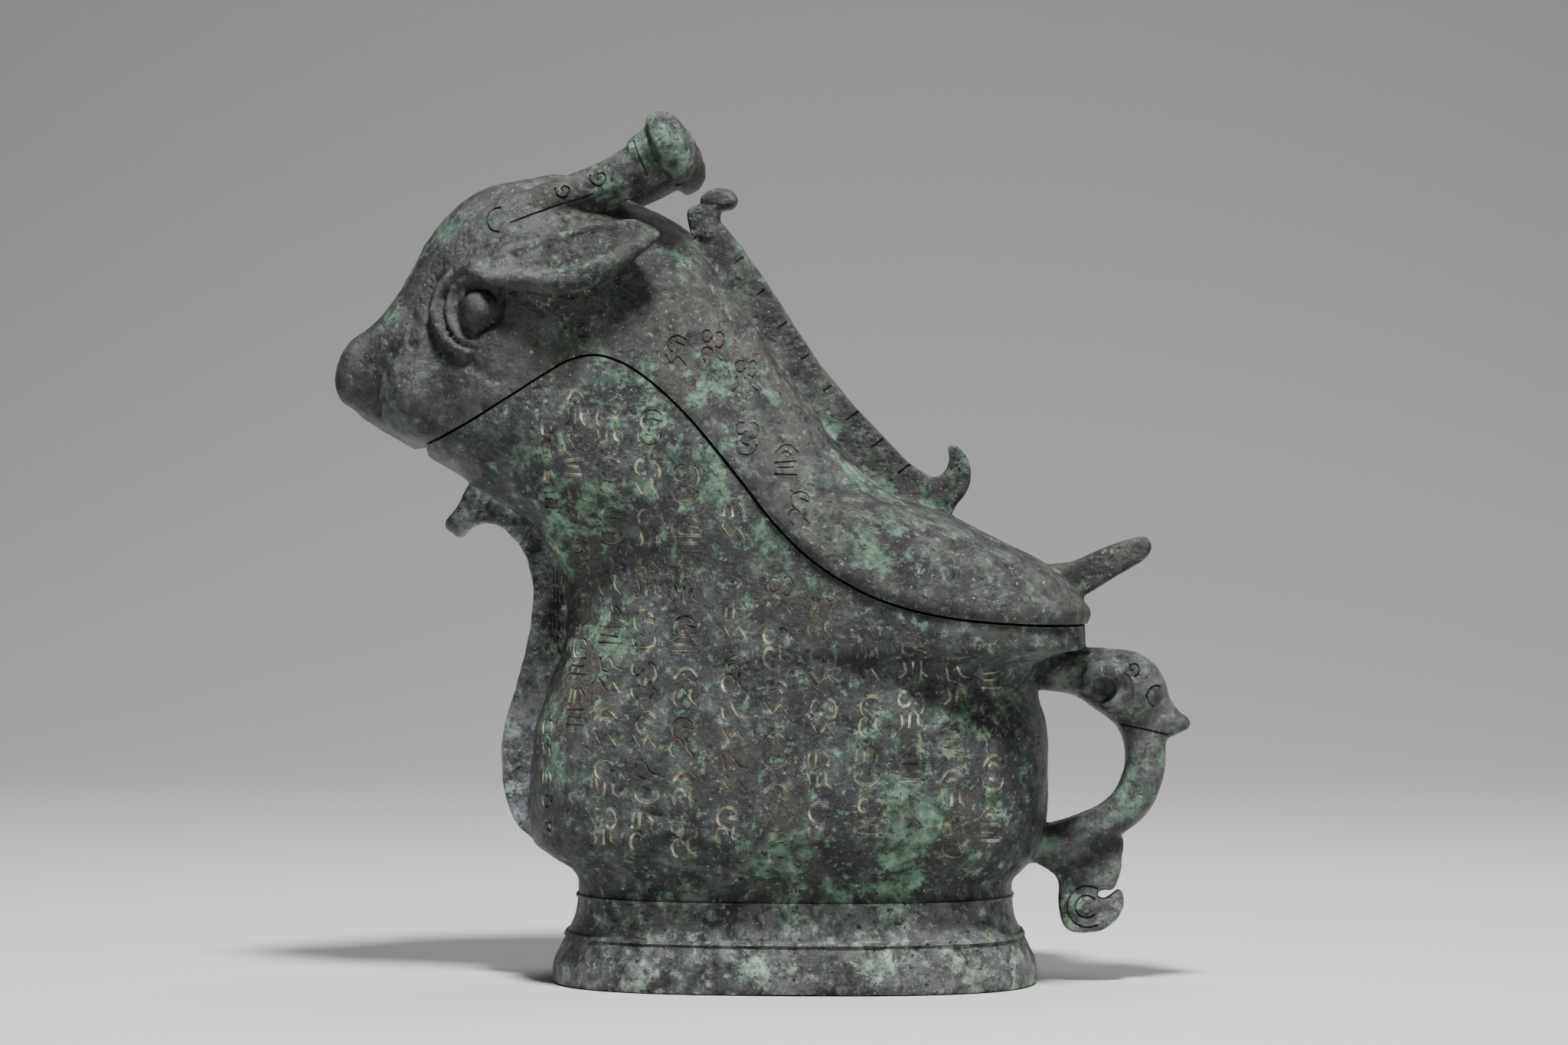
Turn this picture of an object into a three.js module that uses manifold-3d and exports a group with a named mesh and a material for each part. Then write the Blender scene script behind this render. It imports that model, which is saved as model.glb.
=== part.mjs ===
// A bronze wine vessel in the shape of a horned beast, with a lift-off lid.
// The beast's head and back are the lid, its throat is the spout and its tail end is the mouth.
// Millimetres, +Z up; the head looks to -X and the handle is at +X.
import * as THREE from "three";
import { mergeVertices } from "three/addons/utils/BufferGeometryUtils.js";
import Module from "manifold-3d";

const wasm = await Module();
wasm.setup();

// Overall sizes
const LENGTH = 289;
const WIDTH = 108;
const HEIGHT = 293;

// Walls, floor and foot
const WALL = 4;
const FOOT_WALL = 4.5;
const FLOOR = 4.5;
const FOOT_HEIGHT = 32;

// Two raised beads around the foot: height of the middle, thickness, and how far each stands out
const FOOT_BEADS = [[16.7, 1.8, 0.9], [29.3, 1.6, 0.7]];

// Fit of the lid
const SEAM_GAP = 0.8;
const TONGUE_CLEARANCE = 1;
const TONGUE_WALL = 2.6;
const TONGUE_DEPTH = 7;
const LEDGE_HEIGHT = 4;

// Thickness of the plates and the strap, measured across the vessel
const FLANGE_THICKNESS = 6;
const CREST_THICKNESS = 8;
const TAIL_THICKNESS = 13;
const HANDLE_THICKNESS = 18;
const BEAST_THICKNESS = 24;
const SPUR_THICKNESS = 9;

// Ears: how far they stand from the middle plane, and how they lean out to the tail and downwards
const EAR_STAND = 45.6;
const EAR_LEAN = 0.16;
const EAR_FLARE = 0.42;
const EAR_TOP = 246;

// Facets flatter than this are merged.
const SMOOTHING = 0.14;

// The free form below is drawn for a vessel of this size and stretches with the overall sizes.
const DRAWN_LENGTH = 289;
const DRAWN_WIDTH = 108;
const DRAWN_HEIGHT = 293;
const X = (x) => (x * LENGTH) / DRAWN_LENGTH;
const Y = (y) => (y * WIDTH) / DRAWN_WIDTH;
const Z = (z) => (z * HEIGHT) / DRAWN_HEIGHT;

// A smooth curve through [position, value] pairs that never overshoots them.
function curve(pairs) {
  const at = pairs.map((p) => p[0]);
  const value = pairs.map((p) => p[1]);
  const slope = at.slice(1).map((a, i) => (value[i + 1] - value[i]) / (a - at[i]));
  const tangent = at.map((_, i) => {
    if (i === 0) return slope[0];
    if (i === at.length - 1) return slope[i - 1];
    if (slope[i - 1] * slope[i] <= 0) return 0;
    return (2 * slope[i - 1] * slope[i]) / (slope[i - 1] + slope[i]);
  });
  return (t) => {
    if (t <= at[0]) return value[0];
    if (t >= at[at.length - 1]) return value[at.length - 1];
    const i = at.findIndex((a) => a > t) - 1;
    const h = at[i + 1] - at[i];
    const s = (t - at[i]) / h;
    const rise = s * s * (3 - 2 * s);
    const bend = h * s * (1 - s);
    return value[i] + (value[i + 1] - value[i]) * rise
      + bend * ((1 - s) * tangent[i] - s * tangent[i + 1]);
  };
}

// Side view of the body, drawn as [height, distance from the foot's centre].
const front = curve([
  [0, -82], [5, -82], [12, -79.2], [24, -74], [34, -73], [38, -75], [42, -81.8], [48, -88.6],
  [62, -89.4], [84, -88], [97, -84], [114, -78.2], [128, -77.3], [138, -78.8], [153, -88.7],
  [169, -110.9], [180, -130], [190, -146.6], [197, -153], [205, -155.7], [214, -152.2],
  [226, -140.4], [240, -131], [250, -125.7], [262, -115.5], [269, -104], [273, -84],
]);
const rear = curve([
  [0, 82], [5, 82], [12, 79.2], [24, 74], [34, 73.4], [38, 77], [44, 82.3], [60, 85.6],
  [78, 85.8], [95, 85.3], [104, 87.4], [109, 91], [112, 94.8], [113.5, 98.2], [123, 98.2],
  [131, 96], [140, 87.7], [150, 67.5], [158, 51.5], [165, 33], [176, 19.8], [204, -1.7],
  [224, -15], [244, -29], [254, -36.5], [261, -48], [268, -64], [273, -78],
]);

// Half width of the straight-sided body by height, and of the head and back by distance along it.
const bodyWidth = curve([
  [0, 50], [6, 50], [14, 47], [24, 43], [34, 42.5], [38, 44.4], [42, 47.8], [47, 51], [54, 53.2], [64, 54],
  [80, 52.6], [98, 49.6], [110, 48.6], [122, 50.5],
]);
const planWidth = curve([
  [-156, 23], [-140, 25], [-120, 28.5], [-100, 32.5], [-72, 35.5], [-45, 40], [-16, 46.5],
  [5, 49], [35, 50.5], [98, 50.5],
]);
const planShare = curve([[92, 0], [110, 0.35], [126, 0.85], [145, 1]]);
const neckNarrowing = curve([[185, 0], [240, 0.22]]);
const backShare = curve([[-85, 0], [-35, 1]]);
const squareFront = curve([[0, 2.7], [100, 2.6], [140, 2.4], [273, 2.2]]);
const squareRear = curve([
  [0, 2.7], [98, 2.6], [105, 2.9], [112, 4.4], [128, 4.2], [150, 2.9], [190, 2.3], [273, 2.1],
]);
const CROWN = 273;
const FORM_TOP = CROWN - 0.2;
const BEYOND = 1.4 * DRAWN_HEIGHT;
const CROWN_SPRING = 232;
const FORM_HEIGHTS = [
  0, 5, 12, ...FOOT_BEADS.flatMap(([z, thick]) => [z - thick / 2, z, z + thick / 2]), 35,
  39, 43, 48, 56, 70, 84, 95, 103, 109, 113.4, 119, 124, 131, 139, 148,
  158, 168, 178, 188, 197, 206, 216, 227, 238, 248, 257, 264, 269, 272,
];

// Where the side view stands at a drawn height, moved inwards by an inset.
function eroded(profile, inward, z, inset) {
  let edge = profile(z) * inward;
  for (let i = -6; i <= 6; i++) {
    const angle = (i / 6) * 1.45;
    const reach = profile(z + inset * Math.sin(angle)) * inward + inset * Math.cos(angle);
    edge = Math.max(edge, reach);
  }
  return edge * inward;
}

// Half width of the form at a drawn place, moved inwards by an inset.
function halfWidth(x, z, inset) {
  const low = eroded(front, 1, z, inset);
  const high = eroded(rear, -1, z, inset);
  const u = (2 * x - low - high) / (high - low);
  const power = u < 0 ? squareFront(z) : squareRear(z);
  const round = Math.pow(Math.max(0, 1 - Math.pow(Math.abs(u), power)), 1 / power);
  const body = bodyWidth(z);
  const plan = planWidth(x) * (1 - neckNarrowing(z) * backShare(x));
  const full = body + (plan - body) * planShare(z);
  const rise = Math.max(0, z - CROWN_SPRING) / (CROWN - inset - CROWN_SPRING);
  const crown = Math.sqrt(Math.max(0, 1 - rise * rise));
  return Math.max(0.05, (full - inset) * round * crown);
}

// How far the foot's beads stand out at a drawn height.
function beadAt(z) {
  const [, , out] = FOOT_BEADS.find(([middle]) => Math.abs(z - middle) < 0.1) ?? [0, 0, 0];
  return out;
}

// One closed ring of the form at a drawn height.
function formRing(z, inset, count) {
  const bead = inset === 0 ? beadAt(z) : 0;
  const low = eroded(front, 1, z, inset);
  const high = eroded(rear, -1, z, inset);
  const ring = [];
  for (let i = 0; i < count; i++) {
    const angle = ((i + 0.5) / count) * 2 * Math.PI;
    const c = Math.cos(angle);
    const power = c < 0 ? squareFront(z) : squareRear(z);
    const u = Math.sign(c) * Math.pow(Math.abs(c), 2 / power);
    const x = (low + high) / 2 + (u * (high - low)) / 2;
    const y = Y(halfWidth(x, z, inset)) * Math.sign(Math.sin(angle));
    const out = 1 + bead / Math.hypot(X(x), y);
    ring.push([X(x) * out, y * out, Z(z)]);
  }
  return ring;
}

// A closed solid from vertices and triangles, turned to face out.
function solid(vertices, triangles) {
  const make = (tris) => new wasm.Manifold(new wasm.Mesh({
    numProp: 3,
    vertProperties: new Float32Array(vertices.flat()),
    triVerts: new Uint32Array(tris.flat()),
  }));
  const made = make(triangles);
  if (made.volume() > 0) return made;
  return make(triangles.map(([a, b, c]) => [a, c, b]));
}

// A closed solid through a row of rings, with a fan at each end.
function loft(rings) {
  const count = rings[0].length;
  const vertices = rings.flat();
  const triangles = [];
  for (let r = 0; r + 1 < rings.length; r++) {
    for (let i = 0; i < count; i++) {
      const a = r * count + i;
      const b = r * count + ((i + 1) % count);
      triangles.push([a, b, a + count], [b, b + count, a + count]);
    }
  }
  for (const [ring, flip] of [[0, true], [rings.length - 1, false]]) {
    const centre = vertices.length;
    const sum = rings[ring].reduce((s, p) => [s[0] + p[0], s[1] + p[1], s[2] + p[2]]);
    vertices.push(sum.map((v) => v / count));
    for (let i = 0; i < count; i++) {
      const a = ring * count + i;
      const b = ring * count + ((i + 1) % count);
      triangles.push(flip ? [b, a, centre] : [a, b, centre]);
    }
  }
  return solid(vertices, triangles);
}

// The beast's whole form between two drawn heights, smaller all round by an inset.
function form(inset, from, to, count, skip = 1) {
  const between = FORM_HEIGHTS.filter((z, i) => i % skip === 0 && z > from + 1 && z < to - 1);
  return loft([from, ...between, to].map((z) => formRing(z, inset, count)));
}

// The seam between lid and vessel seen from the side, drawn as [distance, height].
const seam = curve([
  [-135, 178.5], [-123, 181.6], [-110, 187.4], [-96, 195.4], [-81, 204.6], [-73, 209], [-65, 210.6],
  [-57, 208.6], [-47, 202.4], [-34, 190.6], [-18, 171.8], [-4, 154.2], [6, 144.2], [18, 135.8],
  [30, 129.8], [45, 125.3], [62, 122.6], [84, 121.2], [100, 121],
]);
const SEAM_STEPS = 32;
const SEAM_FRONT = -135;
const SEAM_REAR = 100;

// How far a line beside the seam stands from it in height, so that it keeps its distance on a slope.
function besideSeam(x, distance) {
  const slope = Z(seam(x + 0.5) - seam(x - 0.5)) / X(1);
  return Z(seam(x)) + distance * Math.sqrt(1 + slope * slope);
}

// The space between two lines seen from the side, as wide as the vessel and more.
function slab(fromX, toX, bottom, top) {
  const stations = [fromX];
  for (let i = 0; i <= SEAM_STEPS; i++) {
    const x = SEAM_FRONT + ((SEAM_REAR - SEAM_FRONT) * i) / SEAM_STEPS;
    if (x > fromX + 1 && x < toX - 1) stations.push(x);
  }
  stations.push(toX);
  return loft(stations.map((x) => {
    const low = bottom(x);
    const high = top(x);
    return [[X(x), -WIDTH, low], [X(x), WIDTH, low], [X(x), WIDTH, high], [X(x), -WIDTH, high]];
  }));
}

// A smooth closed outline through a few drawn points, cut into short straight steps.
function outline(points, steps) {
  const drawn = points.map(([x, z]) => new THREE.Vector3(x, 0, z));
  const path = new THREE.CatmullRomCurve3(drawn, true, "centripetal");
  return path.getPoints(steps).slice(0, -1).map((p) => [p.x, p.z]);
}

// A plate standing in the middle plane: a drawn outline with bevelled edges.
function plate(points, thickness, bevel) {
  const flat = points.map(([x, z]) => new THREE.Vector2(X(x), Z(z)));
  if (THREE.ShapeUtils.area(flat) < 0) flat.reverse();
  const inner = flat.map((p, i) => {
    const before = flat[(i + flat.length - 1) % flat.length];
    const after = flat[(i + 1) % flat.length];
    const along = after.clone().sub(before).normalize();
    return new THREE.Vector2(p.x - along.y * bevel, p.y + along.x * bevel);
  });
  const half = thickness / 2;
  const levels = [[inner, -half], [flat, bevel - half], [flat, half - bevel], [inner, half]];
  const vertices = levels.flatMap(([ring, y]) => ring.map((p) => [p.x, y, p.y]));
  const count = flat.length;
  const triangles = [];
  for (let r = 0; r < 3; r++) {
    for (let i = 0; i < count; i++) {
      const a = r * count + i;
      const b = r * count + ((i + 1) % count);
      triangles.push([a, b, a + count], [b, b + count, a + count]);
    }
  }
  for (const [a, b, c] of THREE.ShapeUtils.triangulateShape(flat, [])) {
    triangles.push([a, c, b], [a + 3 * count, b + 3 * count, c + 3 * count]);
  }
  return solid(vertices, triangles);
}

// A round bar along drawn points, with a radius at each point.
function bar(points, radii, sides, steps) {
  const path = new THREE.CatmullRomCurve3(
    points.map(([x, y, z]) => new THREE.Vector3(X(x), Y(y), Z(z))), false, "centripetal");
  const thickness = curve(radii.map((r, i) => [i / (radii.length - 1), r]));
  const rings = [];
  for (let i = 0; i <= steps; i++) {
    const t = i / steps;
    const centre = path.getPoint(t);
    const along = path.getTangent(t);
    const side = new THREE.Vector3(0, 1, 0).cross(along).normalize();
    const up = along.clone().cross(side).normalize();
    const ring = [];
    for (let k = 0; k < sides; k++) {
      const angle = (k / sides) * 2 * Math.PI;
      const p = centre.clone()
        .addScaledVector(side, Math.cos(angle) * thickness(t))
        .addScaledVector(up, Math.sin(angle) * thickness(t));
      ring.push([p.x, p.y, p.z]);
    }
    rings.push(ring);
  }
  return loft(rings);
}

// A smooth lump with three drawn radii.
function lump([x, y, z], [a, b, c], sides = 10, rows = 6) {
  const rings = [];
  for (let r = 0; r < rows; r++) {
    const tilt = ((r + 0.5) / rows - 0.5) * Math.PI;
    const ring = [];
    for (let i = 0; i < sides; i++) {
      const angle = (i / sides) * 2 * Math.PI;
      ring.push([
        X(x + a * Math.cos(tilt) * Math.cos(angle)),
        Y(y + b * Math.cos(tilt) * Math.sin(angle)),
        Z(z + c * Math.sin(tilt)),
      ]);
    }
    rings.push(ring);
  }
  return loft(rings);
}

// Both sides of the vessel carry the same thing.
function bothSides(make) {
  return make(1).add(make(-1));
}

// A closed solid as a named mesh.
function named(name, made, colour, roughness, metalness) {
  const mesh = made.getMesh();
  const raw = new THREE.BufferGeometry();
  raw.setAttribute("position", new THREE.BufferAttribute(mesh.vertProperties, 3));
  raw.setIndex(new THREE.BufferAttribute(mesh.triVerts, 1));
  const geometry = mergeVertices(raw, 1e-4).toNonIndexed();
  geometry.computeVertexNormals();
  const material = new THREE.MeshStandardMaterial({ color: colour, roughness, metalness });
  const piece = new THREE.Mesh(geometry, material);
  piece.name = name;
  return piece;
}

// The vessel: shell with its spout and foot, front flange, handle and spur, cast in one
function vesselSolid(whole, hollow) {
  const below = slab(SEAM_FRONT - 40, SEAM_REAR + 60,
    () => -10, (x) => besideSeam(x, -SEAM_GAP / 2));
  const flange = plate([
    [-106, 169], [-111.6, 168], [-115, 160.5], [-119.2, 154.6], [-117.8, 152], [-113.8, 149.8],
    [-110.6, 152.8], [-105, 154.9], [-99.4, 153], [-94.6, 148], [-91, 141.4], [-89.2, 133],
    [-89.6, 123.6], [-92, 110], [-95.8, 97], [-99, 86.4], [-100.1, 75], [-99.2, 64.4], [-96, 54.8],
    [-91, 48.6], [-84, 46], [-82, 70], [-79, 96], [-73, 120], [-74, 138], [-86, 158],
  ], FLANGE_THICKNESS, 1);
  const strap = plate(outline([
    [86, 107], [96, 111], [110, 110.4], [120, 104], [124.4, 92], [125.6, 78], [124.2, 67.4],
    [119.6, 57.4], [110, 49.6], [97, 44], [84, 40.5], [80, 42], [79, 49], [82, 51.6], [93.9, 55.4],
    [105.4, 61.2], [110.4, 69], [111.6, 77], [109, 86], [101.6, 93.2], [91.5, 98.8], [85, 100],
  ], 44), HANDLE_THICKNESS, 4);
  const beast = plate([
    [86, 99.6], [86, 107], [93.5, 111.7], [104, 112], [113, 111.8], [119, 109.2], [123.4, 104.5],
    [125.4, 97], [121, 90], [112, 87.5], [104.2, 91.5], [95.2, 97.2],
  ], BEAST_THICKNESS, 4);
  const snout = plate([
    [116, 102], [123.8, 101], [126.4, 95.4], [130, 91], [133.2, 87], [132, 85.2], [128.2, 83.6],
    [120, 85], [113, 88],
  ], 0.72 * BEAST_THICKNESS, 3);
  const spur = plate([
    [86, 41], [97, 44], [110, 49.6], [110.2, 40.6], [109.2, 35.4], [106.6, 31.4], [104, 31.6],
    [102.4, 29.4], [104.4, 28], [106.8, 29.6], [109.4, 31], [111, 28.8], [110.8, 24.6], [108.4, 20.4],
    [103.7, 17.4], [98, 16.4], [92.6, 17.2], [90, 20.6], [89, 27], [88.7, 35.2], [82, 41],
  ], SPUR_THICKNESS, 1.5);
  const beastEar = (side) => bar([
    [99, 11.4 * side, 101.4], [102.6, 12.4 * side, 104.6], [108, 12.6 * side, 103.8],
    [111, 12.4 * side, 99.6], [109.6, 11.6 * side, 94.6],
  ], [1.5, 2, 2, 2, 1.4], 5, 7);
  const beastEye = (side) => lump([119.4, 9.6 * side, 98], [3.2, 3.6, 3], 8, 4);
  return whole.intersect(below)
    .add(flange)
    .add(strap)
    .add(beast)
    .add(snout)
    .add(spur)
    .add(bothSides(beastEar))
    .add(bothSides(beastEye))
    .subtract(hollow)
    .subtract(footHollow())
    .simplify(SMOOTHING);
}

// The open space inside the foot ring
function footHollow() {
  const top = (FOOT_HEIGHT * DRAWN_HEIGHT) / HEIGHT;
  const heights = [-2, 5, 12, 24, top];
  return loft(heights.map((z) => formRing(z, FOOT_WALL, 20)));
}

// The lid: head and back with ears, horns, crest and tail, and a tongue that drops into the mouth
function lidSolid(whole, hollow) {
  const above = slab(SEAM_FRONT - 40, SEAM_REAR + 60,
    (x) => besideSeam(x, SEAM_GAP / 2), () => Z(BEYOND));
  const ledge = slab(SEAM_FRONT - 40, SEAM_REAR + 60,
    (x) => besideSeam(x, LEDGE_HEIGHT), () => Z(BEYOND));
  const tongueBand = slab(-92, SEAM_REAR,
    (x) => besideSeam(x, -TONGUE_DEPTH), (x) => besideSeam(x, LEDGE_HEIGHT / 2));
  const inTongue = WALL + TONGUE_CLEARANCE;
  const tongue = form(inTongue, 90, 240, 20, 2).intersect(tongueBand);
  const core = form(inTongue + TONGUE_WALL, 88, FORM_TOP - inTongue - TONGUE_WALL, 20, 2);
  const crest = plate([
    [-30, 256.5], [-26, 257.6], [-20.6, 251.6], [-9.9, 236.8], [5.7, 212.8], [16.2, 199.2],
    [26.6, 187.6], [37, 177], [43, 172.2], [47.4, 170.2], [50.9, 172.4], [52.4, 177],
    [52.1, 180.4], [54.4, 181], [58.2, 177.6], [59.8, 172], [58.6, 165.6], [54.6, 160.6],
    [50, 156.6], [36, 160], [24, 168], [6, 188], [-12, 214], [-30, 240], [-36, 249],
  ], CREST_THICKNESS, 1.6);
  const budFoot = plate([
    [-36, 261.2], [-30.6, 263.4], [-25.4, 261.6], [-25.6, 257], [-27, 251.6], [-31, 250.4], [-34.6, 252],
    [-36, 256.4],
  ], 1.3 * CREST_THICKNESS, 1.6);
  const bud = plate([
    [-32.4, 264.8], [-27.6, 268.4], [-22.2, 268.2], [-19.2, 265], [-20.6, 261.6], [-25, 260.6], [-30, 262.2],
  ], 1.4 * CREST_THICKNESS, 2);
  const tail = plate([
    [88, 136], [87, 139.6], [94, 141.8], [104.2, 146.2], [114.5, 149.8], [118, 150.4], [120, 148.6],
    [120.4, 146], [118.6, 143], [109.3, 136.9], [99, 130.6], [92, 128],
  ], TAIL_THICKNESS, 2.4);
  const horn = (side) => bar([
    [-113, 15.5 * side, 244], [-106, 17 * side, 251.5], [-96, 17.5 * side, 257], [-80, 18.2 * side, 262.4],
    [-64, 19.6 * side, 267.6], [-52, 21 * side, 273.6], [-43, 22.1 * side, 279.6],
  ], [2.6, 5, 6.4, 7.3, 7.6, 8.2, 9], 9, 7);
  const cap = (side) => bar([
    [-45.2, 22 * side, 279], [-44, 22.1 * side, 279.5], [-41, 22.4 * side, 280.9],
    [-37.5, 22.7 * side, 282.4], [-34, 23 * side, 284],
  ], [9.8, 12, 12.7, 10.9, 3.6], 10, 4);
  const earSide = (x, z) => EAR_STAND + EAR_LEAN * x + EAR_FLARE * (EAR_TOP - z);
  const ear = (side) => {
    const leaf = plate(outline([
      [-108, 239.6], [-94, 245.6], [-78, 250], [-63.8, 254.2], [-53, 255.6], [-45.4, 253], [-42.6, 249.4],
      [-46, 246.2], [-52, 241], [-60, 235], [-72, 231], [-88, 231.6], [-100, 234.6],
    ], 18), 4.6, 1.2);
    const lean = (Y(EAR_LEAN) / X(1)) * side;
    const flare = (Y(EAR_FLARE) / Z(1)) * side;
    const place = new THREE.Matrix4().set(
      1, 0, 0, 0, lean, 1, -flare, Y(earSide(0, 0)) * side, 0, 0, 1, 0, 0, 0, 0, 1);
    return leaf.transform(place.elements);
  };
  const lobe = (side) => bar([
    [-101, 235.6], [-90, 235.4], [-79.6, 234.6], [-71, 235.2], [-62.3, 238.6], [-54, 243.4], [-46.8, 248.2],
  ].map(([x, z]) => [x, (earSide(x, z) + 1) * side, z]), [1.6, 3.4, 4.3, 4.5, 4, 3, 1.7], 6, 7);
  const onSide = (x, z, out, side) => [x, (halfWidth(x, z, 0) + out) * side, z];
  const socket = (side) => lump([-104, 33 * side, 226.4], [10.5, 7, 9.5], 8, 4);
  const eye = (side) => lump([-103.8, 28.2 * side, 226.5], [5.8, 6.6, 5.8], 8, 5);
  const eyelid = (side) => bar([
    [-86, 248], [-103.4, 242.6], [-116.4, 234.8], [-119, 226], [-116.8, 217.8], [-107, 211.6],
  ].map(([x, z]) => onSide(x, z, 0.9, side)), [1.6, 2.1, 2.4, 2.4, 2.1, 1], 5, 8);
  const innerLid = (side) => bar([
    [-97, 240], [-107.6, 237], [-114.2, 229.4], [-113.6, 221], [-105, 214.6],
  ].map(([x, z]) => onSide(x, z, 0.2, side)), [1, 1.5, 1.7, 1.6, 0.9], 4, 6);
  const undercut = (side) => bar([
    [-113.6, 241.6], [-119.4, 236.6], [-122.4, 229.6], [-122.2, 222.6], [-119.8, 216],
  ].map(([x, z]) => onSide(x, z, 0.9, side)), [0.5, 1.5, 1.9, 1.7, 0.6], 4, 4);
  const crease = (side) => bar([
    [-129, 223.5], [-132, 218], [-137, 210.5], [-140.3, 205], [-141.8, 198.5], [-141, 191.5],
  ].map(([x, z]) => onSide(x, z, 1, side)), [0.6, 1.4, 2, 2.2, 2.2, 1.8], 4, 5);
  const lip = (side) => lump([-124, 14 * side, 199], [16.2, 14, 17.6], 10, 6);
  const nose = (side) => lump([-146.6, 4.5 * side, 207], [8.6, 9, 12], 8, 4);
  return whole.intersect(above)
    .add(bothSides(lip))
    .add(bothSides(nose))
    .intersect(above)
    .subtract(bothSides(crease))
    .subtract(bothSides(socket))
    .subtract(bothSides(undercut))
    .add(crest)
    .add(budFoot)
    .add(bud)
    .add(tail)
    .add(bothSides(horn))
    .add(bothSides(cap))
    .add(bothSides(ear))
    .add(bothSides(lobe))
    .add(bothSides(eye))
    .add(bothSides(eyelid))
    .add(bothSides(innerLid))
    .subtract(hollow.intersect(ledge))
    .add(tongue)
    .subtract(core)
    .simplify(SMOOTHING);
}

const whole = form(0, 0, FORM_TOP, 32);
const hollow = form(WALL, ((FOOT_HEIGHT + FLOOR) * DRAWN_HEIGHT) / HEIGHT, FORM_TOP - WALL, 20, 2);
const vessel = vesselSolid(whole, hollow);
const lid = lidSolid(whole, hollow);

// The middle of the overall length comes to X = 0.
const span = vessel.boundingBox();
const reach = lid.boundingBox();
const middle = (Math.min(span.min[0], reach.min[0]) + Math.max(span.max[0], reach.max[0])) / 2;

const gong = new THREE.Group();
gong.name = "gong";
const standing = new THREE.Group();
standing.position.x = -middle;
standing.add(named("vessel", vessel, 0x5b6357, 0.55, 0.75));
standing.add(named("lid", lid, 0x66685a, 0.5, 0.75));
gong.add(standing);

export default gong;
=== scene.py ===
import math

import bmesh
import bpy
import numpy as np
import openvdb
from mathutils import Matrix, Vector
from mathutils.bvhtree import BVHTree


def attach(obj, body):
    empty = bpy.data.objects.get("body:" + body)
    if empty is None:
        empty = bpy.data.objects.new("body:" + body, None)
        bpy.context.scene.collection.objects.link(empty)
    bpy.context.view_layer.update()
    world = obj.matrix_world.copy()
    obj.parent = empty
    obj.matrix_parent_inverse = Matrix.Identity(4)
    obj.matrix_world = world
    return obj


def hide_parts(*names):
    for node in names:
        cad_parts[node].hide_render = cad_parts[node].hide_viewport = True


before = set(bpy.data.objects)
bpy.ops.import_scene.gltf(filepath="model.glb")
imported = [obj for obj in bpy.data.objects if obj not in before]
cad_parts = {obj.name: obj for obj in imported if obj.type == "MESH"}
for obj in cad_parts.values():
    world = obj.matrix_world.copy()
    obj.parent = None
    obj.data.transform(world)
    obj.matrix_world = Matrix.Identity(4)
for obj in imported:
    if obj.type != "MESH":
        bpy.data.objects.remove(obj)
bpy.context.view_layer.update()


# The vessel
# A wine vessel cast in bronze in one: a round-cornered body with its throat and spout, a foot ring,
# a thin flange under the throat, a handle with a beast's head, and a hooked spur under the handle.
# It has lain in the ground, so its skin is pitted and grown over with grey-green patina.

MM = 0.001
FOOT_CENTRE = 11.3  # the foot's centre stands this far towards the handle from the frame's origin
CROWN = 273.0
CROWN_SPRING = 232.0
VESSEL_WALL = 4.0
FOOT_WALL = 4.5
FLOOR_TOP = 36.5
FOOT_TOP = 32.0
SEAM_GAP = 0.4  # each of the two castings stops this far from the seam
INSIDE_TOP = 268
VESSEL_GRAIN = 1.35  # distance between the points of its skin


def curve(pairs):
    """A smooth curve through (position, value) pairs that never overshoots them."""
    at, value = np.array(pairs, float).T
    slope = np.diff(value) / np.diff(at)
    both = slope[:-1] * slope[1:]
    total = np.where(both > 0, slope[:-1] + slope[1:], 1.0)
    inner = np.where(both > 0, 2 * both / total, 0.0)
    tangent = np.concatenate([slope[:1], inner, slope[-1:]])

    def read(t):
        t = np.clip(np.asarray(t, float), at[0], at[-1])
        i = np.clip(np.searchsorted(at, t, side="right") - 1, 0, len(at) - 2)
        h = at[i + 1] - at[i]
        s = (t - at[i]) / h
        bend = h * s * (1 - s) * ((1 - s) * tangent[i] - s * tangent[i + 1])
        return value[i] + (value[i + 1] - value[i]) * s * s * (3 - 2 * s) + bend

    return read


# side view of the body: height, distance from the foot's centre
front = curve([
    (0, -82), (5, -82), (12, -79.2), (24, -74), (34, -73), (38, -75), (42, -81.8), (48, -88.6),
    (62, -89.4), (84, -88), (97, -84), (114, -78.2), (128, -77.3), (138, -78.8), (153, -88.7),
    (169, -110.9), (180, -130), (190, -146.6), (197, -153), (205, -155.7), (214, -152.2),
    (226, -140.4), (240, -131), (250, -125.7), (262, -115.5), (269, -104), (273, -84)])
rear = curve([
    (0, 82), (5, 82), (12, 79.2), (24, 74), (34, 73.4), (38, 77), (44, 82.3), (60, 85.6),
    (78, 85.8), (88, 84.8), (96, 82.6), (103, 82.2), (108, 85.5), (111.4, 90.5), (113.2, 98.2),
    (123, 98.2), (131, 96), (140, 87.7), (150, 67.5), (158, 51.5), (165, 33), (176, 19.8), (204, -1.7),
    (224, -15), (244, -29), (254, -36.5), (261, -48), (268, -64), (273, -78)])
body_width = curve([
    (0, 50), (6, 50), (14, 47), (24, 43), (34, 42.5), (38, 44.4), (42, 47.8), (47, 51), (54, 53.2),
    (64, 54), (80, 52.6), (98, 49.3), (108, 47.9), (114, 49.6), (122, 50.5)])
plan_width = curve([
    (-156, 23), (-140, 25), (-120, 28.5), (-100, 32.5), (-72, 35.5), (-45, 40), (-16, 46.5),
    (5, 49), (35, 50.5), (98, 50.5)])
plan_share = curve([(92, 0), (110, 0.35), (126, 0.85), (145, 1)])
neck_narrowing = curve([(185, 0), (240, 0.22)])
back_share = curve([(-85, 0), (-35, 1)])
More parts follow.
